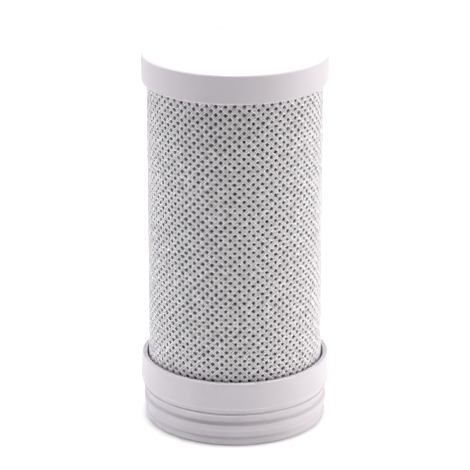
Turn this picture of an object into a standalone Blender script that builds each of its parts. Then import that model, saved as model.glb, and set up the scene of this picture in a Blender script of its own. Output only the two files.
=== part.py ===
"""Sealed carbon-block water filter cartridge for a caravan or motorhome.

Water enters through the perforated wrap, passes inwards through a hollow block of
bonded carbon and a fine inner wrap, and leaves down the core tube through the outlet
in the base. Two moulded caps are bonded over the ends with rings of hot-melt adhesive.

Units: dimensions below are millimetres; meshes are written in metres.
Frame: the origin is the centre of the base's rest ring, and +Z points up along the axis.
"""
import math

import bmesh
import bpy

MM = 0.001
MERGE_DISTANCE = 0.0001 * MM
GAP = 0.3
ROUND_SEGMENTS = 48
CORNER_STEPS = 2

# Driving dimensions
HEIGHT = 136.5
CAP_RADIUS = 33.0
COLLAR_RADIUS = 34.0
WRAP_RADIUS = 31.2
WALL = 1.4
WEB = 2.0

# Top cap
CAP_SIDE = 10.8
CAP_BOTTOM_Z = HEIGHT - CAP_SIDE
CAP_BORE = CAP_RADIUS - WALL
CAP_CEILING_Z = HEIGHT - WEB

# Bottom cap: a cup like the top cap, standing on a hollow base with rings around it
COLLAR_BOTTOM_Z = 14.0
COLLAR_TOP_Z = 23.9
COLLAR_TAPER = 0.2
CUP_BORE = 31.8
WEB_BOTTOM_Z = 13.6
CUP_FLOOR_Z = WEB_BOTTOM_Z + WEB
NECK_RADIUS = 32.7
NECK_BOTTOM_Z = 12.1
GROOVE_RADIUS = 32.0
UPPER_RING_RADIUS = 33.1
UPPER_RING_BOTTOM_Z = 11.4
LOWER_RING_RADIUS = 33.0
LOWER_RING_TOP_Z = 7.8
LOWER_RING_BOTTOM_Z = 5.7
FOOT_RADIUS = 32.4
FOOT_TOP_Z = 2.2
SKIRT_BORE = 29.4
SKIRT_DRAFT = 0.3
RING_DRAFT = 0.2

# Outlet in the base, with its gasket seat and stiffening ribs
OUTLET_RADIUS = 7.0
SEAT_RING_BORE = 13.8
SEAT_RING_RADIUS = 15.2
SEAT_RING_BOTTOM_Z = 9.8
RIB_COUNT = 8
RIB_WIDTH = 1.4
GASKET_BORE = 7.6
GASKET_THICKNESS = 3.2

# Core: a perforated tube located on a spigot at each end
SPIGOT_RADIUS = 8.6
SPIGOT_LENGTH = 6.0
TUBE_BORE = 9.0
TUBE_RADIUS = 10.6
TUBE_SEGMENTS = 24
TUBE_WINDOWS_AROUND = 6
TUBE_WINDOW_ROWS = 10
TUBE_LAND = 4.0

# Media and bonds
BOND_THICKNESS = 1.5
CORE_WRAP_BORE = TUBE_RADIUS + GAP
CORE_WRAP_RADIUS = 12.7
BLOCK_BORE = CORE_WRAP_RADIUS + GAP
WRAP_THICKNESS = 0.5
WRAP_BORE = WRAP_RADIUS - WRAP_THICKNESS
BLOCK_RADIUS = WRAP_BORE - GAP
SEAM_HEIGHT = 0.25
SEAM_HALF_WIDTH = 4.2

BOND_BOTTOM_Z = CUP_FLOOR_Z + GAP
MEDIA_BOTTOM_Z = BOND_BOTTOM_Z + BOND_THICKNESS + GAP
BOND_TOP_Z = CAP_CEILING_Z - GAP
MEDIA_TOP_Z = BOND_TOP_Z - BOND_THICKNESS - GAP

# Linear base colour, roughness
FINISHES = {
    "moulded_white": ((0.78, 0.76, 0.79), 0.42),
    "nonwoven_white": ((0.72, 0.70, 0.71), 0.85),
    "carbon": ((0.012, 0.012, 0.014), 0.90),
    "core_plastic": ((0.70, 0.70, 0.70), 0.50),
    "hot_melt": ((0.62, 0.55, 0.40), 0.45),
    "gasket_rubber": ((0.02, 0.02, 0.02), 0.65),
}


def remove_scene_objects():
    for obj in list(bpy.data.objects):
        bpy.data.objects.remove(obj, do_unlink=True)


def finish_material(finish):
    material = bpy.data.materials.get(finish)
    if material is None:
        colour, roughness = FINISHES[finish]
        material = bpy.data.materials.new(finish)
        material.use_nodes = True
        shader = material.node_tree.nodes["Principled BSDF"]
        shader.inputs["Base Color"].default_value = (*colour, 1.0)
        shader.inputs["Roughness"].default_value = roughness
        shader.inputs["Metallic"].default_value = 0.0
    return material


def rounded_corner(before, corner, after, radius):
    """Points of an arc of the given radius that rounds one corner of an outline."""
    to_before = (before[0] - corner[0], before[1] - corner[1])
    to_after = (after[0] - corner[0], after[1] - corner[1])
    length_before = math.hypot(*to_before)
    length_after = math.hypot(*to_after)
    unit_before = (to_before[0] / length_before, to_before[1] / length_before)
    unit_after = (to_after[0] / length_after, to_after[1] / length_after)
    cosine = unit_before[0] * unit_after[0] + unit_before[1] * unit_after[1]
    half_angle = 0.5 * math.acos(max(-1.0, min(1.0, cosine)))
    setback = radius / math.tan(half_angle)
    middle = (unit_before[0] + unit_after[0], unit_before[1] + unit_after[1])
    middle_length = math.hypot(*middle)
    reach = radius / math.sin(half_angle)
    centre = (corner[0] + middle[0] / middle_length * reach,
              corner[1] + middle[1] / middle_length * reach)
    start = (corner[0] + unit_before[0] * setback, corner[1] + unit_before[1] * setback)
    end = (corner[0] + unit_after[0] * setback, corner[1] + unit_after[1] * setback)
    start_angle = math.atan2(start[1] - centre[1], start[0] - centre[0])
    end_angle = math.atan2(end[1] - centre[1], end[0] - centre[0])
    sweep = (end_angle - start_angle + math.pi) % (2.0 * math.pi) - math.pi
    points = []
    for step in range(CORNER_STEPS + 1):
        angle = start_angle + sweep * step / CORNER_STEPS
        points.append((centre[0] + radius * math.cos(angle),
                       centre[1] + radius * math.sin(angle)))
    return points


def outline_points(corners):
    """Outline (radius, height) points from corners given as (radius, height, rounding)."""
    points = []
    for index, (radius, height, rounding) in enumerate(corners):
        if rounding == 0.0:
            points.append((radius, height))
            continue
        before = corners[index - 1]
        after = corners[(index + 1) % len(corners)]
        points.extend(rounded_corner(before, (radius, height), after, rounding))
    return points


def new_object(name, bm, finish):
    bmesh.ops.remove_doubles(bm, verts=bm.verts, dist=MERGE_DISTANCE)
    bmesh.ops.recalc_face_normals(bm, faces=bm.faces)
    mesh = bpy.data.meshes.new(name)
    bm.to_mesh(mesh)
    bm.free()
    mesh.materials.append(finish_material(finish))
    mesh.shade_smooth()
    mesh.set_sharp_from_angle(angle=math.radians(35.0))
    obj = bpy.data.objects.new(name, mesh)
    bpy.context.scene.collection.objects.link(obj)
    return obj


def turned(name, corners, finish):
    """A solid turned from an outline about Z, open at the axis if the outline ends there."""
    bm = bmesh.new()
    points = outline_points(corners)
    verts = [bm.verts.new((radius * MM, 0.0, height * MM)) for radius, height in points]
    edges = [bm.edges.new(pair) for pair in zip(verts, verts[1:])]
    if points[0][0] > 0.0:
        edges.append(bm.edges.new((verts[-1], verts[0])))
    bmesh.ops.spin(bm, geom=verts + edges, cent=(0.0, 0.0, 0.0), axis=(0.0, 0.0, 1.0),
                   angle=2.0 * math.pi, steps=ROUND_SEGMENTS, use_merge=True)
    return new_object(name, bm, finish)


def ring(name, bore, radius, bottom, top, finish):
    corners = [
        (bore, top, 0.0),
        (radius, top, 0.0),
        (radius, bottom, 0.0),
        (bore, bottom, 0.0),
    ]
    return turned(name, corners, finish)


def make_top_cap():
    spigot_bottom = CAP_CEILING_Z - SPIGOT_LENGTH
    spigot_bore = SPIGOT_RADIUS - WALL
    corners = [
        (0.0, HEIGHT, 0.0),
        (CAP_RADIUS, HEIGHT, 1.0),
        (CAP_RADIUS, CAP_BOTTOM_Z, 0.8),
        (CAP_BORE, CAP_BOTTOM_Z, 0.3),
        (CAP_BORE, CAP_CEILING_Z, 0.0),
        (SPIGOT_RADIUS, CAP_CEILING_Z, 0.0),
        (SPIGOT_RADIUS, spigot_bottom, 0.4),
        (spigot_bore, spigot_bottom, 0.0),
        (spigot_bore, CAP_CEILING_Z, 0.0),
        (0.0, CAP_CEILING_Z, 0.0),
    ]
    return turned("top_cap", corners, "moulded_white")


def bottom_cap_corners():
    collar = [
        (CUP_BORE, COLLAR_TOP_Z, 0.5),
        (COLLAR_RADIUS - COLLAR_TAPER, COLLAR_TOP_Z, 0.7),
        (COLLAR_RADIUS, COLLAR_BOTTOM_Z, 0.7),
        (NECK_RADIUS, COLLAR_BOTTOM_Z, 0.0),
    ]
    ringed_side = [
        (NECK_RADIUS, NECK_BOTTOM_Z, 0.0),
        (UPPER_RING_RADIUS, NECK_BOTTOM_Z, 0.25),
        (UPPER_RING_RADIUS, UPPER_RING_BOTTOM_Z, 0.25),
        (GROOVE_RADIUS, UPPER_RING_BOTTOM_Z - RING_DRAFT, 0.3),
        (GROOVE_RADIUS, LOWER_RING_TOP_Z + RING_DRAFT, 0.3),
        (LOWER_RING_RADIUS, LOWER_RING_TOP_Z, 0.4),
        (LOWER_RING_RADIUS, LOWER_RING_BOTTOM_Z, 0.4),
        (GROOVE_RADIUS, LOWER_RING_BOTTOM_Z - RING_DRAFT, 0.3),
        (GROOVE_RADIUS, FOOT_TOP_Z + RING_DRAFT, 0.3),
        (FOOT_RADIUS, FOOT_TOP_Z, 0.3),
        (FOOT_RADIUS, 0.0, 0.8),
    ]
    underside = [
        (SKIRT_BORE + SKIRT_DRAFT, 0.0, 0.3),
        (SKIRT_BORE, WEB_BOTTOM_Z, 0.5),
        (SEAT_RING_RADIUS, WEB_BOTTOM_Z, 0.0),
        (SEAT_RING_RADIUS, SEAT_RING_BOTTOM_Z, 0.3),
        (SEAT_RING_BORE, SEAT_RING_BOTTOM_Z, 0.3),
        (SEAT_RING_BORE, WEB_BOTTOM_Z, 0.0),
        (OUTLET_RADIUS, WEB_BOTTOM_Z, 0.3),
    ]
    cup_inside = [
        (OUTLET_RADIUS, CUP_FLOOR_Z + SPIGOT_LENGTH, 0.3),
        (SPIGOT_RADIUS, CUP_FLOOR_Z + SPIGOT_LENGTH, 0.4),
        (SPIGOT_RADIUS, CUP_FLOOR_Z, 0.0),
        (CUP_BORE, CUP_FLOOR_Z, 0.0),
    ]
    return collar + ringed_side + underside + cup_inside


def make_rib_guide(index):
    """One stiffening rib, joined to the base's web, skirt and seat ring by a union."""
    overlap = 0.6
    inner = SEAT_RING_RADIUS - overlap
    outer = SKIRT_BORE + overlap
    top = WEB_BOTTOM_Z + overlap
    bm = bmesh.new()
    bmesh.ops.create_cube(bm, size=MM)
    bmesh.ops.scale(bm, vec=(outer - inner, RIB_WIDTH, top - SEAT_RING_BOTTOM_Z), verts=bm.verts)
    centre = (0.5 * (inner + outer) * MM, 0.0, 0.5 * (top + SEAT_RING_BOTTOM_Z) * MM)
    bmesh.ops.translate(bm, vec=centre, verts=bm.verts)
    rib = new_object(f"rib_guide_{index}", bm, "moulded_white")
    rib.rotation_euler.z = 2.0 * math.pi * (index + 0.5) / RIB_COUNT
    rib.hide_render = True
    rib.display_type = "WIRE"
    return rib


def make_bottom_cap():
    cap = turned("bottom_cap", bottom_cap_corners(), "moulded_white")
    for index in range(RIB_COUNT):
        union = cap.modifiers.new(f"rib_{index}", "BOOLEAN")
        union.operation = "UNION"
        union.solver = "EXACT"
        union.object = make_rib_guide(index)
    return cap


def make_outer_wrap():
    """A rolled sleeve whose two edges overlap in a flat seam down the back (+Y)."""
    wrap = ring("outer_wrap", WRAP_BORE, WRAP_RADIUS, MEDIA_BOTTOM_Z, MEDIA_TOP_Z,
                "nonwoven_white")
    middle_radius = 0.5 * (WRAP_BORE + WRAP_RADIUS) * MM
    for vert in wrap.data.vertices:
        on_outside = math.hypot(vert.co.x, vert.co.y) > middle_radius
        in_seam = vert.co.y > 0.0 and abs(vert.co.x) < SEAM_HALF_WIDTH * MM
        if on_outside and in_seam:
            growth = (WRAP_RADIUS + SEAM_HEIGHT) / WRAP_RADIUS
            vert.co.x *= growth
            vert.co.y *= growth
    return wrap


def core_tube_heights():
    """Heights of the grid lines: a land, then a window, and so on, ending in a land."""
    bottom = CUP_FLOOR_Z + GAP
    top = CAP_CEILING_Z - GAP
    lands = TUBE_WINDOW_ROWS + 1
    window = (top - bottom - lands * TUBE_LAND) / TUBE_WINDOW_ROWS
    heights = [bottom]
    for _ in range(TUBE_WINDOW_ROWS):
        heights.append(heights[-1] + TUBE_LAND)
        heights.append(heights[-1] + window)
    heights.append(top)
    return heights


def is_window(column, row):
    """Windows are half the width of their pitch, and every second row is staggered."""
    if row % 2 == 0:
        return False
    pitch = TUBE_SEGMENTS // TUBE_WINDOWS_AROUND
    stagger = (row // 2 % 2) * (pitch // 2)
    return (column + stagger) % pitch < pitch // 2


def make_core_tube():
    heights = core_tube_heights()
    rows = len(heights) - 1
    bm = bmesh.new()
    grids = []
    for radius in (TUBE_BORE, TUBE_RADIUS):
        grid = []
        for height in heights:
            angles = [2.0 * math.pi * column / TUBE_SEGMENTS for column in range(TUBE_SEGMENTS)]
            grid.append([bm.verts.new((radius * MM * math.cos(angle),
                                       radius * MM * math.sin(angle),
                                       height * MM)) for angle in angles])
        grids.append(grid)
    for row in range(rows):
        for column in range(TUBE_SEGMENTS):
            if is_window(column, row):
                continue
            add_tube_cell(bm, grids, row, column, rows)
    return new_object("core_tube", bm, "core_plastic")


def add_tube_cell(bm, grids, row, column, rows):
    """The two faces of one cell of the tube's wall, and its edges where the wall ends."""
    after = (column + 1) % TUBE_SEGMENTS
    before = (column - 1) % TUBE_SEGMENTS
    for grid in grids:
        bm.faces.new((grid[row][column], grid[row][after],
                      grid[row + 1][after], grid[row + 1][column]))
    sides = (
        (row == 0 or is_window(column, row - 1), (row, column), (row, after)),
        (row == rows - 1 or is_window(column, row + 1), (row + 1, column), (row + 1, after)),
        (is_window(before, row), (row, column), (row + 1, column)),
        (is_window(after, row), (row, after), (row + 1, after)),
    )
    inner, outer = grids
    for is_edge, (row_a, column_a), (row_b, column_b) in sides:
        if is_edge:
            bm.faces.new((inner[row_a][column_a], inner[row_b][column_b],
                          outer[row_b][column_b], outer[row_a][column_a]))


def make_media():
    ring("carbon_block", BLOCK_BORE, BLOCK_RADIUS, MEDIA_BOTTOM_Z, MEDIA_TOP_Z, "carbon")
    ring("core_wrap", CORE_WRAP_BORE, CORE_WRAP_RADIUS, MEDIA_BOTTOM_Z, MEDIA_TOP_Z,
         "nonwoven_white")


def make_bonds():
    ring("bottom_bond", CORE_WRAP_BORE, CUP_BORE - GAP,
         BOND_BOTTOM_Z, BOND_BOTTOM_Z + BOND_THICKNESS, "hot_melt")
    ring("top_bond", CORE_WRAP_BORE, CAP_BORE - GAP,
         BOND_TOP_Z - BOND_THICKNESS, BOND_TOP_Z, "hot_melt")


def make_outlet_gasket():
    top = WEB_BOTTOM_Z - GAP
    ring("outlet_gasket", GASKET_BORE, SEAT_RING_BORE - GAP, top - GASKET_THICKNESS, top,
         "gasket_rubber")


def main():
    remove_scene_objects()
    make_top_cap()
    make_bottom_cap()
    make_outer_wrap()
    make_core_tube()
    make_media()
    make_bonds()
    make_outlet_gasket()


main()
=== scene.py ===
"""Looks of the water filter cartridge: fine mouldings, the perforated wrap and every material.

Lengths named in this file are millimetres unless a comment says otherwise. The meshes are
in metres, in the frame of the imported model.
"""
import math

import bmesh
import bpy
import numpy as np
from mathutils import Matrix, Vector


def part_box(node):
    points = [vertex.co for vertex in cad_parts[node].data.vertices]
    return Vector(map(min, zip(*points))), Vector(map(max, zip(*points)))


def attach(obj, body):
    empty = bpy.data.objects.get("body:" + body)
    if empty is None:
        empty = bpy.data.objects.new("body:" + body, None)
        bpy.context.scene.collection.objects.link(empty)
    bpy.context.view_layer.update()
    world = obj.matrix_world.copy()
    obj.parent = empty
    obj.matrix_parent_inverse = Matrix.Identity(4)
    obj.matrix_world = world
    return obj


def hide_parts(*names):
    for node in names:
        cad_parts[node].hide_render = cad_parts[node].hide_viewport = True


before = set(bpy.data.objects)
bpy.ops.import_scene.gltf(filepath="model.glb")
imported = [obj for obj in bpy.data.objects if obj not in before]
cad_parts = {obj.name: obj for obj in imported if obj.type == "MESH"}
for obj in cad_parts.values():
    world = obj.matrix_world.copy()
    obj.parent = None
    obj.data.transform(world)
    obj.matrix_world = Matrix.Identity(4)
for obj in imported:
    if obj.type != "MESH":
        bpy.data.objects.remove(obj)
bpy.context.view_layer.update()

MM = 0.001
TAU = 2.0 * math.pi
SEED = 7

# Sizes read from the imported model
CAP_LOW, CAP_HIGH = [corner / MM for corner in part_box("top_cap")]
BASE_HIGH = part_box("bottom_cap")[1] / MM
WRAP_LOW, WRAP_HIGH = [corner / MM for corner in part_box("outer_wrap")]
GASKET_LOW, GASKET_HIGH = [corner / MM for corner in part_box("outlet_gasket")]

CAP_RADIUS = CAP_HIGH.x
COLLAR_RADIUS = BASE_HIGH.x
WRAP_RADIUS = WRAP_HIGH.x
GASKET_RADIUS = GASKET_HIGH.x
HEIGHT = CAP_HIGH.z
BLOCK_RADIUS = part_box("carbon_block")[1].x / MM

# Mouldings
WALL = 1.4
WEB = 2.0
ROUND_STEPS = 192
CORNER_STEPS = 6
SPIGOT_RADIUS = 8.6
SPIGOT_LENGTH = 6.0
OUTLET_RADIUS = 7.0
COLLAR_BOTTOM = 14.0
NECK_BOTTOM = 12.1
UPPER_RING_BOTTOM = 11.4
LOWER_RING_TOP = 7.8
LOWER_RING_BOTTOM = 5.7
FOOT_TOP = 2.2
WEB_BOTTOM = 13.6
SEAT_RING_BOTTOM = 9.8
SEAT_RING_RADIUS = 15.2
SEAT_RING_BORE = GASKET_RADIUS + 0.3
SKIRT_BORE = 29.4
RIB_COUNT = 8
RIB_WIDTH = 1.4

# Perforated wrap
CELLS_AROUND = 60
HALF_ROWS = 72
FABRIC_CLEARANCE = 0.03
FABRIC_THICKNESS = WRAP_RADIUS - BLOCK_RADIUS - FABRIC_CLEARANCE
HOLE_REACH = 0.84
HOLE_SIDE_REACH = 0.64
HOLE_TAPER = 0.87
HOLE_LIP_DEPTH = 0.13
SEAM_HALF_WIDTH = 4.2
SEAM_RISE = 0.2


def rounded_corner(before, corner, after, radius):
    """Arc that rounds one corner of an outline, as a list of (radius, height) points."""
    here = np.array(corner[:2])
    to_before = np.array(before[:2]) - here
    to_after = np.array(after[:2]) - here
    to_before /= np.linalg.norm(to_before)
    to_after /= np.linalg.norm(to_after)
    half_angle = 0.5 * math.acos(np.clip(to_before @ to_after, -1.0, 1.0))
    middle = (to_before + to_after) / np.linalg.norm(to_before + to_after)
    centre = here + middle * radius / math.sin(half_angle)
    start = here + to_before * radius / math.tan(half_angle) - centre
    end = here + to_after * radius / math.tan(half_angle) - centre
    start_angle = math.atan2(start[1], start[0])
    sweep = (math.atan2(end[1], end[0]) - start_angle + math.pi) % TAU - math.pi
    points = []
    for step in range(CORNER_STEPS + 1):
        angle = start_angle + sweep * step / CORNER_STEPS
        points.append(tuple(centre + radius * np.array((math.cos(angle), math.sin(angle)))))
    return points


def outline_points(corners):
    """Outline points from corners given as (radius, height, rounding)."""
    points = []
    for index, corner in enumerate(corners):
        if corner[2] == 0.0:
            points.append(corner[:2])
        else:
            after = corners[(index + 1) % len(corners)]
            points.extend(rounded_corner(corners[index - 1], corner, after, corner[2]))
    return points


def turned(name, corners):
    """A smooth solid turned about Z, closed at the axis if its outline starts and ends there."""
    points = outline_points(corners)
    bm = bmesh.new()
    verts = [bm.verts.new((radius * MM, 0.0, height * MM)) for radius, height in points]
    edges = [bm.edges.new(pair) for pair in zip(verts, verts[1:])]
    if points[0][0] > 0.0:
        edges.append(bm.edges.new((verts[-1], verts[0])))
    bmesh.ops.spin(bm, geom=verts + edges, cent=(0.0, 0.0, 0.0), axis=(0.0, 0.0, 1.0),
                   angle=TAU, steps=ROUND_STEPS, use_merge=True)
    bmesh.ops.remove_doubles(bm, verts=bm.verts, dist=1e-7)
    bmesh.ops.recalc_face_normals(bm, faces=bm.faces)
    mesh = bpy.data.meshes.new(name)
    bm.to_mesh(mesh)
    bm.free()
    obj = bpy.data.objects.new(name, mesh)
    bpy.context.scene.collection.objects.link(obj)
    shade(obj)
    return obj


def shade(obj, crease_degrees=40.0):
    obj.data.shade_smooth()
    obj.data.set_sharp_from_angle(angle=math.radians(crease_degrees))
    weighted = obj.modifiers.new("even_normals", "WEIGHTED_NORMAL")
    weighted.keep_sharp = True


def top_cap_corners():
    """Closed cap with a shallow gate dimple in its face and a spigot for the core tube."""
    ceiling = HEIGHT - WEB
    bore = CAP_RADIUS - WALL
    dimple_radius = 2.4
    dimple_depth = 0.3
    return [
        (0.0, HEIGHT - dimple_depth, 0.0),
        (dimple_radius, HEIGHT - dimple_depth, 0.2),
        (dimple_radius + 0.3, HEIGHT, 0.2),
        (CAP_RADIUS - 0.15, HEIGHT, 1.1),
        (CAP_RADIUS, 0.5 * (HEIGHT + CAP_LOW.z), 30.0),
        (CAP_RADIUS - 0.05, CAP_LOW.z, 0.8),
        (bore, CAP_LOW.z, 0.3),
        (bore, ceiling, 0.3),
        (SPIGOT_RADIUS, ceiling, 0.3),
        (SPIGOT_RADIUS, ceiling - SPIGOT_LENGTH, 0.4),
        (SPIGOT_RADIUS - WALL, ceiling - SPIGOT_LENGTH, 0.3),
        (SPIGOT_RADIUS - WALL, ceiling, 0.3),
        (0.0, ceiling, 0.0),
    ]


def bottom_cap_corners():
    """Cup with a rounded rim, standing on a hollow base with two rings and a foot."""
    collar_top = BASE_HIGH.z
    shoulder = COLLAR_RADIUS - 0.2
    bore = COLLAR_RADIUS - 2.2
    floor = WEB_BOTTOM + WEB
    neck = COLLAR_RADIUS - 1.3
    groove = COLLAR_RADIUS - 2.0
    upper_ring = COLLAR_RADIUS - 0.9
    lower_ring = COLLAR_RADIUS - 1.0
    foot = COLLAR_RADIUS - 1.6
    draft = 0.3
    ramp = 0.9
    return [
        (bore, collar_top, 0.25),
        (shoulder - 0.25, collar_top, 0.4),
        (shoulder, collar_top - 1.8, 2.0),
        (COLLAR_RADIUS, COLLAR_BOTTOM, 0.8),
        (neck, COLLAR_BOTTOM, 0.4),
        (neck, NECK_BOTTOM + 0.1, 0.4),
        (upper_ring, NECK_BOTTOM - 0.1, 0.3),
        (upper_ring, UPPER_RING_BOTTOM, 0.3),
        (groove, UPPER_RING_BOTTOM - draft, 0.6),
        (groove, LOWER_RING_TOP + ramp, 1.2),
        (lower_ring, LOWER_RING_TOP, 0.8),
        (lower_ring, LOWER_RING_BOTTOM, 0.6),
        (groove, LOWER_RING_BOTTOM - draft, 0.6),
        (groove, FOOT_TOP + ramp, 1.2),
        (foot, FOOT_TOP, 0.8),
        (foot, 0.0, 1.1),
        (SKIRT_BORE + 0.3, 0.0, 0.4),
        (SKIRT_BORE, WEB_BOTTOM, 0.5),
        (SEAT_RING_RADIUS, WEB_BOTTOM, 0.3),
        (SEAT_RING_RADIUS, SEAT_RING_BOTTOM, 0.3),
        (SEAT_RING_BORE, SEAT_RING_BOTTOM, 0.3),
        (SEAT_RING_BORE, WEB_BOTTOM, 0.0),
        (OUTLET_RADIUS, WEB_BOTTOM, 0.3),
        (OUTLET_RADIUS, floor + SPIGOT_LENGTH, 0.3),
        (SPIGOT_RADIUS, floor + SPIGOT_LENGTH, 0.4),
        (SPIGOT_RADIUS, floor, 0.3),
        (bore, floor, 0.4),
    ]


def rib_set():
    """The base's stiffening ribs as one mesh of separate rounded bars, for the union."""
    overlap = 0.6
    inner = SEAT_RING_RADIUS - overlap
    outer = SKIRT_BORE + overlap
    top = WEB_BOTTOM + overlap
    size = Vector((outer - inner, RIB_WIDTH, top - SEAT_RING_BOTTOM)) * MM
    centre = Vector((outer + inner, 0.0, top + SEAT_RING_BOTTOM)) * 0.5 * MM
    bm = bmesh.new()
    for index in range(RIB_COUNT):
        bar = bmesh.ops.create_cube(bm, size=1.0)["verts"]
        bmesh.ops.scale(bm, vec=size, verts=bar)
        long_lower_edges = [edge for edge in {edge for vert in bar for edge in vert.link_edges}
                            if all(vert.co.z < 0.0 for vert in edge.verts)
                            and edge.verts[0].co.x * edge.verts[1].co.x < 0.0]
        made = bmesh.ops.bevel(bm, geom=long_lower_edges, offset=0.3 * MM, segments=3, affect="EDGES")
        bar = list({vert for vert in bar if vert.is_valid} | set(made["verts"]))
        bmesh.ops.translate(bm, vec=centre, verts=bar)
        turn = Matrix.Rotation(TAU * (index + 0.5) / RIB_COUNT, 3, "Z")
        bmesh.ops.rotate(bm, cent=(0.0, 0.0, 0.0), verts=bar, matrix=turn)
    mesh = bpy.data.meshes.new("rib_set")
    bm.to_mesh(mesh)
    bm.free()
    return bpy.data.objects.new("rib_set", mesh)


def bottom_cap_piece():
    cap = turned("bottom_cap_moulding", bottom_cap_corners())
    cap.modifiers.clear()
    ribs = rib_set()
    bpy.context.scene.collection.objects.link(ribs)
    union = cap.modifiers.new("ribs", "BOOLEAN")
    union.operation = "UNION"
    union.object = ribs
    depsgraph = bpy.context.evaluated_depsgraph_get()
    joined = bpy.data.meshes.new_from_object(cap.evaluated_get(depsgraph))
    cap.modifiers.clear()
    cap.data = joined
    bpy.data.objects.remove(ribs)
    shade(cap)
    return cap


def gasket_piece():
    """Flat rubber ring with rounded edges and one low sealing bead on its face."""
    bore = 7.6
    bead_radius = 10.5
    bead = 0.45
    bottom = GASKET_LOW.z + 0.25
    corners = [
        (bore, GASKET_HIGH.z, 0.25),
        (GASKET_RADIUS, GASKET_HIGH.z, 0.25),
        (GASKET_RADIUS, bottom, 0.3),
        (bead_radius + bead, bottom, 0.1),
        (bead_radius, GASKET_LOW.z, 0.15),
        (bead_radius - bead, bottom, 0.1),
        (bore, bottom, 0.3),
    ]
    return turned("outlet_gasket_ring", corners)


class WrapMesh:
    """Collects the wrap's vertices, faces and flat-sheet coordinates on a grid of half cells.

    A grid place is (p, q): p counts quarters of a cell round the sleeve from the seam, and q
    counts quarters of a cell up it. Holes and lattice crossings sit on even places.
    """

    QUARTERS_AROUND = 4 * CELLS_AROUND
    # Each wave of the fabric's wander: turns round the sleeve, and rise in radians per 18 mm
    WAVES = ((1, 0.9), (2, 1.7), (3, -1.2), (5, 2.3), (7, -2.9), (11, 3.7))

    def __init__(self):
        self.rng = np.random.default_rng(SEED)
        self.low = WRAP_LOW.z + 1.6
        self.quarter_height = (WRAP_HIGH.z - WRAP_LOW.z - 3.2) / (2 * HALF_ROWS)
        self.quarter_width = TAU * WRAP_RADIUS / self.QUARTERS_AROUND
        self.verts = []
        self.faces = []
        self.sheet = []
        self.shared = {}
        self.waves = self.rng.uniform(0.0, TAU, size=(len(self.WAVES), 3))

    def drift(self, p, q):
        """Slow sideways, upward and outward wander of the fabric, in mm."""
        angle = TAU * p / self.QUARTERS_AROUND
        height = q * self.quarter_height / 18.0
        move = np.zeros(3)
        for wave, (turns, rise) in enumerate(self.WAVES):
            phase = self.waves[wave]
            move += np.sin(turns * angle + rise * height + phase) / (1.0 + 0.5 * wave)
        return move * np.array((0.10, 0.09, 0.025))

    def seam_rise(self, across):
        """The overlap stands proud by SEAM_RISE across the seam's closed band, and runs 1.5 mm further on
        one side.
        """
        if across < -SEAM_HALF_WIDTH or across > SEAM_HALF_WIDTH + 1.5:
            return 0.0
        return SEAM_RISE

    def across(self, p):
        """Distance from the seam's middle along the sheet, in mm."""
        wrapped = (p + self.QUARTERS_AROUND / 2) % self.QUARTERS_AROUND - self.QUARTERS_AROUND / 2
        return wrapped * self.quarter_width

    def add(self, p, q, depth, offset=(0.0, 0.0), free=True):
        wander = self.drift(p, q) if free else np.zeros(3)
        angle = math.pi / 2.0 + (p * self.quarter_width + offset[0] + wander[0]) / WRAP_RADIUS
        height = self.low + q * self.quarter_height + offset[1] + wander[1]
        outer = WRAP_RADIUS - 0.06 + self.seam_rise(self.across(p))
        inner = WRAP_RADIUS - FABRIC_THICKNESS
        radius = max(inner, outer - depth - abs(wander[2])) if depth < FABRIC_THICKNESS else inner
        self.verts.append((radius * math.cos(angle) * MM, radius * math.sin(angle) * MM, height * MM))
        return len(self.verts) - 1

    def shared_vert(self, p, q, depth):
        """One vertex for a grid place, used by all the cells that meet there."""
        key = (p % self.QUARTERS_AROUND, q, depth)
        if key not in self.shared:
            self.shared[key] = self.add(key[0], q, depth)
        return self.shared[key]

    def face(self, corners):
        """corners: (vertex, p, q) with p unwrapped, so that the sheet coordinates don't jump."""
        self.faces.append([corner[0] for corner in corners])
        self.sheet.extend((corner[1] / 4.0, corner[2] / 4.0) for corner in corners)


RING_STEPS = ((2, 0), (1, 1), (0, 2), (-1, 1), (-2, 0), (-1, -1), (0, -2), (1, -1))


def add_wrap_cell(wrap, p, q):
    """One diamond of fabric round its hole: front, lip, wall of the hole and back."""
    size = wrap.rng.normal(1.0, 0.05)
    stretch = wrap.rng.normal(1.03, 0.04)
    twist = wrap.rng.normal(0.0, 0.06)
    shift = wrap.rng.normal(0.0, 0.04, size=2)
    in_seam = abs(wrap.across(p)) < SEAM_HALF_WIDTH
    outer = []
    lip = []
    inner = []
    for step, (right, up) in enumerate(RING_STEPS):
        outer.append((wrap.shared_vert(p + right, q + up, 0.0), p + right, q + up))
        reach = HOLE_REACH if step % 2 == 0 else HOLE_SIDE_REACH
        reach *= size * wrap.rng.normal(1.0, 0.04)
        angle = TAU * step / 8.0 + twist
        offset = np.array((math.cos(angle) * stretch, math.sin(angle) / stretch)) * reach
        place = (p + offset[0] / wrap.quarter_width, q + offset[1] / wrap.quarter_height)
        lip.append((wrap.add(p, q, HOLE_LIP_DEPTH, offset + shift), *place))
        depth = 0.3 if in_seam else FABRIC_THICKNESS
        inner.append((wrap.add(p, q, depth, offset * HOLE_TAPER + shift), *place))
    for step in range(8):
        after = (step + 1) % 8
        wrap.face((outer[step], outer[after], lip[after], lip[step]))
        wrap.face((lip[step], lip[after], inner[after], inner[step]))
    back = [(wrap.shared_vert(p + right, q + up, FABRIC_THICKNESS), p + right, q + up)
            for right, up in RING_STEPS[::2]]
    if in_seam:
        wrap.face(inner)
        wrap.face(back[::-1])
        return
    for quarter in range(4):
        first = 2 * quarter
        wrap.face((back[quarter], inner[first], inner[first + 1],
                   inner[(first + 2) % 8], back[(quarter + 1) % 4]))


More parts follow.
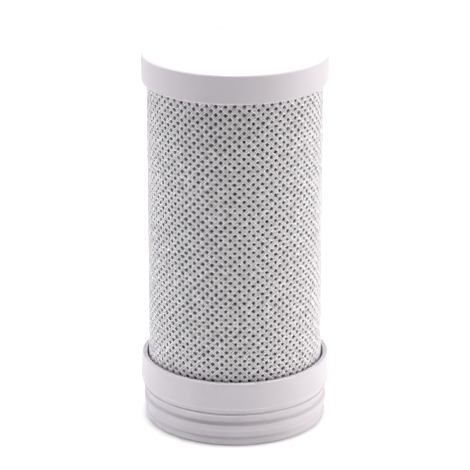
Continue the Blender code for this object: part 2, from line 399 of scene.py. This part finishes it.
def add_wrap_end(wrap, q, up):
    """Fills the zigzag edge of the lattice and runs a plain band to the end of the sleeve."""
    end_q = (WRAP_LOW.z - wrap.low) / wrap.quarter_height
    if up > 0:
        end_q = (WRAP_HIGH.z - wrap.low) / wrap.quarter_height
    end_front = []
    end_back = []
    for p in range(2, wrap.QUARTERS_AROUND, 4):
        end_front.append(wrap.add(p, end_q, 0.0, free=False))
        end_back.append(wrap.add(p, end_q, FABRIC_THICKNESS, free=False))
    count = len(end_front)
    for index in range(count):
        p = 2 + 4 * index
        after = (index + 1) % count
        for depth, end_ring, facing in ((0.0, end_front, 1), (FABRIC_THICKNESS, end_back, -1)):
            left = (wrap.shared_vert(p, q, depth), p, q)
            right = (wrap.shared_vert(p + 4, q, depth), p + 4, q)
            peak = (wrap.shared_vert(p + 2, q - 2 * up, depth), p + 2, q - 2 * up)
            gusset = [left, right, peak]
            if depth == 0.0:
                mid_right = (wrap.shared_vert(p + 3, q - up, depth), p + 3, q - up)
                mid_left = (wrap.shared_vert(p + 1, q - up, depth), p + 1, q - up)
                gusset = [left, right, mid_right, peak, mid_left]
            band = [(end_ring[index], p, end_q), (end_ring[after], p + 4, end_q), right, left]
            for loop in (gusset, band):
                wrap.face(loop if facing * up < 0 else loop[::-1])
        rim = [(end_back[index], p, end_q), (end_back[after], p + 4, end_q),
               (end_front[after], p + 4, end_q), (end_front[index], p, end_q)]
        wrap.face(rim if up < 0 else rim[::-1])


def wrap_piece():
    """The sleeve: a staggered lattice of real holes, closed front, back and ends."""
    wrap = WrapMesh()
    for row in range(1, HALF_ROWS):
        first = 2 if row % 2 == 1 else 0
        for p in range(first, wrap.QUARTERS_AROUND, 4):
            add_wrap_cell(wrap, p, 2 * row)
    add_wrap_end(wrap, 0, -1)
    add_wrap_end(wrap, 2 * HALF_ROWS, 1)
    mesh = bpy.data.meshes.new("perforated_wrap")
    mesh.from_pydata(wrap.verts, [], wrap.faces)
    sheet = mesh.uv_layers.new(name="sheet")
    sheet.data.foreach_set("uv", np.array(wrap.sheet, np.float32).ravel())
    mesh.shade_smooth()
    obj = bpy.data.objects.new("perforated_wrap", mesh)
    bpy.context.scene.collection.objects.link(obj)
    return obj


class Shader:
    """A material's node tree, with short calls for the nodes used here."""

    def __init__(self, name, roughness, specular=0.5):
        self.material = bpy.data.materials.new(name)
        self.material.use_nodes = True
        self.tree = self.material.node_tree
        self.surface = self.tree.nodes["Principled BSDF"]
        self.surface.inputs["Roughness"].default_value = roughness
        self.surface.inputs["Specular IOR Level"].default_value = specular

    def node(self, kind, inputs=None, **settings):
        made = self.tree.nodes.new(kind)
        for name, value in settings.items():
            setattr(made, name, value)
        for name, value in (inputs or {}).items():
            self.put(value, made.inputs[name])
        return made

    def put(self, value, socket):
        if isinstance(value, bpy.types.NodeSocket):
            self.tree.links.new(value, socket)
        else:
            socket.default_value = value

    def math(self, operation, first, second=0.0, third=0.0):
        return self.node("ShaderNodeMath", {0: first, 1: second, 2: third}, operation=operation).outputs[0]

    def noise(self, vector, scale, detail=2.0, roughness=0.5):
        made = self.node("ShaderNodeTexNoise", {"Vector": vector, "Scale": scale, "Detail": detail,
                                                "Roughness": roughness})
        return made.outputs["Fac"]

    def remap(self, value, low, high, to_low, to_high):
        made = self.node("ShaderNodeMapRange", {"Value": value, "From Min": low, "From Max": high,
                                                "To Min": to_low, "To Max": to_high})
        return made.outputs["Result"]

    def mix(self, factor, first, second):
        made = self.node("ShaderNodeMix", {"Factor": factor}, data_type="RGBA")
        self.put((*first, 1.0), made.inputs[6])
        self.put((*second, 1.0), made.inputs[7])
        return made.outputs[2]

    def bump(self, height, strength, distance_mm):
        made = self.node("ShaderNodeBump", {"Height": height, "Strength": strength,
                                            "Distance": distance_mm * MM})
        self.put(made.outputs["Normal"], self.surface.inputs["Normal"])

    def place(self):
        return self.node("ShaderNodeTexCoord").outputs["Object"]


def moulded_plastic(name, light, dark, roughness, grain_mm=0.35):
    """Satin moulded plastic: faint flow marks in the colour, a fine spark-eroded grain."""
    shader = Shader(name, roughness)
    place = shader.place()
    flow = shader.noise(place, 55.0, 3.0)
    shader.put(shader.mix(shader.remap(flow, 0.35, 0.65, 0.0, 1.0), dark, light),
               shader.surface.inputs["Base Color"])
    gloss = shader.noise(place, 240.0, 2.0)
    shader.put(shader.remap(gloss, 0.3, 0.7, roughness - 0.05, roughness + 0.07),
               shader.surface.inputs["Roughness"])
    grain = shader.noise(place, 1.0 / (grain_mm * MM), 2.0)
    shader.bump(grain, 0.12, 0.02)
    return shader.material


def lattice_distance(shader, sheet):
    """Distance from the nearest hole's middle, 0 to 0.5, with diamond-shaped contours."""
    parts = shader.node("ShaderNodeSeparateXYZ", {"Vector": sheet})
    rising = shader.math("ADD", parts.outputs["X"], parts.outputs["Y"])
    falling = shader.math("SUBTRACT", parts.outputs["X"], parts.outputs["Y"])
    from_rising = shader.math("PINGPONG", rising, 0.5)
    from_falling = shader.math("PINGPONG", falling, 0.5)
    return rising, falling, shader.math("MAXIMUM", from_rising, from_falling)


def fibre_streaks(shader, along, across, offset):
    """Fine streaks that run along one diagonal of the lattice."""
    vector = shader.node("ShaderNodeCombineXYZ", {"X": shader.math("MULTIPLY", along, 0.9),
                                                  "Y": shader.math("MULTIPLY", across, 9.0),
                                                  "Z": offset}).outputs["Vector"]
    return shader.noise(vector, 1.0, 3.0, 0.6)


def perforated_fabric():
    """Bonded fibres pushed aside round each hole: streaks on both diagonals, ridged bands."""
    shader = Shader("perforated_nonwoven", 0.9, specular=0.25)
    sheet = shader.node("ShaderNodeUVMap", uv_map="sheet").outputs["UV"]
    rising, falling, distance = lattice_distance(shader, sheet)
    streak_a = fibre_streaks(shader, rising, falling, 0.0)
    streak_b = fibre_streaks(shader, falling, rising, 5.0)
    fibres = shader.math("MAXIMUM", streak_a, streak_b)
    blotch = shader.noise(sheet, 0.9, 3.0)
    thread = shader.remap(distance, 0.36, 0.45, 1.0, 0.0)
    weight = shader.math("MULTIPLY_ADD", thread, 0.6, shader.remap(fibres, 0.48, 0.68, 0.0, 0.65))
    weight = shader.math("MULTIPLY_ADD", shader.remap(blotch, 0.3, 0.7, -0.5, 0.5), 0.2, weight)
    colour = shader.mix(weight, (0.45, 0.435, 0.45), (0.96, 0.94, 0.96))
    shader.put(colour, shader.surface.inputs["Base Color"])
    height = shader.math("MULTIPLY_ADD", thread, 0.7, fibres)
    shader.bump(height, 0.5, 0.3)
    shader.surface.inputs["Subsurface Weight"].default_value = 0.35
    shader.surface.inputs["Subsurface Radius"].default_value = (1.0, 1.0, 1.0)
    shader.surface.inputs["Subsurface Scale"].default_value = 0.4 * MM
    shader.surface.inputs["Sheen Weight"].default_value = 0.15
    shader.surface.inputs["Sheen Roughness"].default_value = 0.6
    return shader.material


def fine_nonwoven():
    shader = Shader("fine_nonwoven", 0.9, specular=0.2)
    place = shader.place()
    fibres = shader.noise(place, 900.0, 4.0, 0.7)
    shader.put(shader.mix(fibres, (0.66, 0.66, 0.65), (0.84, 0.84, 0.83)),
               shader.surface.inputs["Base Color"])
    shader.bump(fibres, 0.4, 0.1)
    return shader.material


def bonded_carbon():
    """Pressed grains of carbon: angular facets, each of its own shade, with a few bright ones."""
    shader = Shader("bonded_carbon", 0.75, specular=0.4)
    place = shader.place()
    grains = shader.node("ShaderNodeTexVoronoi", {"Vector": place, "Scale": 1500.0})
    shade_of_grain = shader.node("ShaderNodeSeparateXYZ", {"Vector": grains.outputs["Color"]}).outputs["X"]
    shader.put(shader.mix(shade_of_grain, (0.075, 0.075, 0.077), (0.24, 0.24, 0.245)),
               shader.surface.inputs["Base Color"])
    shader.put(shader.remap(shade_of_grain, 0.0, 1.0, 0.9, 0.45), shader.surface.inputs["Roughness"])
    shader.bump(grains.outputs["Distance"], 0.8, 0.25)
    return shader.material


def hot_melt():
    shader = Shader("hot_melt", 0.4)
    place = shader.place()
    flow = shader.noise(place, 120.0, 2.0)
    shader.put(shader.mix(flow, (0.55, 0.47, 0.32), (0.70, 0.63, 0.48)),
               shader.surface.inputs["Base Color"])
    shader.bump(flow, 0.5, 0.3)
    return shader.material


def gasket_rubber():
    shader = Shader("gasket_rubber", 0.6, specular=0.35)
    place = shader.place()
    bloom = shader.noise(place, 160.0, 3.0)
    shader.put(shader.mix(bloom, (0.014, 0.014, 0.015), (0.034, 0.034, 0.036)),
               shader.surface.inputs["Base Color"])
    grain = shader.noise(place, 2600.0, 2.0)
    shader.bump(grain, 0.25, 0.03)
    return shader.material


def dress(obj, material):
    """Puts one material in all of an object's slots."""
    if not obj.material_slots:
        obj.data.materials.append(material)
    for material_slot in obj.material_slots:
        material_slot.material = material


def add_pieces():
    plastic = moulded_plastic("moulded_white", (0.66, 0.625, 0.665), (0.64, 0.605, 0.645), 0.42)
    stand_ins = (
        (turned("top_cap_moulding", top_cap_corners()), "top_cap", plastic, "moulded_white"),
        (bottom_cap_piece(), "bottom_cap", plastic, "moulded_white"),
        (wrap_piece(), "outer_wrap", perforated_fabric(), "perforated_nonwoven"),
        (gasket_piece(), "outlet_gasket", gasket_rubber(), "gasket_rubber"),
    )
    for piece, node, material, slot_name in stand_ins:
        dress(piece, material)
        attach(piece, "root")
        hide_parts(node)


def dress_kept_nodes():
    adhesive = hot_melt()
    looks = {
        "carbon_block": bonded_carbon(),
        "core_wrap": fine_nonwoven(),
        "core_tube": moulded_plastic("core_plastic", (0.74, 0.74, 0.73), (0.70, 0.70, 0.69), 0.45),
        "top_bond": adhesive,
        "bottom_bond": adhesive,
    }
    for node, material in looks.items():
        dress(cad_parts[node], material)


def add_floor():
    """A pale floor that glows faintly, and looks white to the camera away from the object.

    The extra white is for camera rays only, so it doesn't light the object.
    """
    size = 24.0
    glow = 0.12
    seen_glow = 0.85
    shadow_reach = (0.03, 0.3)
    bpy.ops.mesh.primitive_plane_add(size=size, location=(0.0, 0.0, -0.0002))
    floor = bpy.context.object
    floor.name = "floor"
    shader = Shader("floor", 0.9, specular=0.0)
    place = shader.place()
    tone = shader.noise(place, 3.0, 2.0)
    shader.put(shader.mix(tone, (0.86, 0.86, 0.86), (0.88, 0.88, 0.88)),
               shader.surface.inputs["Base Color"])
    shader.surface.inputs["Emission Color"].default_value = (1.0, 1.0, 1.0, 1.0)
    from_middle = shader.node("ShaderNodeVectorMath", {0: place}, operation="LENGTH").outputs["Value"]
    fade = shader.remap(from_middle, *shadow_reach, 0.0, seen_glow)
    seen = shader.node("ShaderNodeLightPath").outputs["Is Camera Ray"]
    strength = shader.math("MULTIPLY_ADD", fade, seen, glow)
    shader.put(strength, shader.surface.inputs["Emission Strength"])
    dress(floor, shader.material)


def add_softbox(name, place, target, size, power, colour):
    """An area light of size (wide, high) metres, aimed at target; places are in metres."""
    data = bpy.data.lights.new(name, "AREA")
    data.shape = "RECTANGLE"
    data.size, data.size_y = size
    data.energy = power
    data.color = colour
    light = bpy.data.objects.new(name, data)
    light.location = place
    aim = Vector(target) - Vector(place)
    light.rotation_euler = aim.to_track_quat("-Z", "Y").to_euler()
    bpy.context.scene.collection.objects.link(light)


def add_light():
    """Two boxes overhead, a strong box on each side, and a weaker one behind each of those."""
    middle = (0.0, 0.0, 0.07)
    white = (1.0, 1.0, 1.0)
    warm = (1.0, 0.963, 0.945)
    cool = (0.96, 0.965, 1.0)
    add_softbox("overhead_box", (0.0, 0.35, 1.3), middle, (1.6, 1.6), 7.8, white)
    add_softbox("low_overhead_box", (0.0, -0.03, 0.75), middle, (0.3, 0.3), 4.85, white)
    add_softbox("right_box", (1.2, -0.05, 0.4), middle, (1.0, 1.1), 12.2, warm)
    add_softbox("right_back_box", (0.9, 0.8, 0.4), middle, (0.8, 1.1), 3.9, warm)
    add_softbox("left_box", (-1.2, -0.05, 0.4), middle, (1.0, 1.1), 6.4, cool)
    add_softbox("left_back_box", (-0.9, 0.8, 0.4), middle, (0.8, 1.1), 5.3, cool)


def add_world():
    """White where the camera sees it; it lights the object only faintly."""
    ambient_strength = 0.03
    world = bpy.data.worlds.new("studio")
    world.use_nodes = True
    nodes = world.node_tree.nodes
    links = world.node_tree.links
    ambient = nodes["Background"]
    ambient.inputs["Strength"].default_value = ambient_strength
    backdrop = nodes.new("ShaderNodeBackground")
    backdrop.inputs["Color"].default_value = (1.0, 1.0, 1.0, 1.0)
    seen = nodes.new("ShaderNodeLightPath")
    choice = nodes.new("ShaderNodeMixShader")
    links.new(seen.outputs["Is Camera Ray"], choice.inputs[0])
    links.new(ambient.outputs[0], choice.inputs[1])
    links.new(backdrop.outputs[0], choice.inputs[2])
    links.new(choice.outputs[0], nodes["World Output"].inputs["Surface"])
    bpy.context.scene.world = world


def add_camera():
    """Long lens from in front, looking down 19.5 degrees at the middle of the cartridge."""
    elevation = math.radians(19.5)
    distance = 28.0 * CAP_RADIUS * MM
    target = Vector((0.0, 0.0, 0.5 * HEIGHT * MM - 0.0005))
    data = bpy.data.cameras.new("camera")
    data.sensor_width = 36.0
    data.lens = 198.0
    data.clip_start = 0.05
    data.clip_end = 50.0
    camera = bpy.data.objects.new("camera", data)
    back = Vector((0.0, -math.cos(elevation), math.sin(elevation)))
    camera.location = target + back * distance
    camera.rotation_euler = (-back).to_track_quat("-Z", "Y").to_euler()
    bpy.context.scene.collection.objects.link(camera)
    bpy.context.scene.camera = camera


add_pieces()
dress_kept_nodes()
add_floor()
add_light()
add_world()
add_camera()
bpy.context.scene.view_settings.view_transform = "Standard"
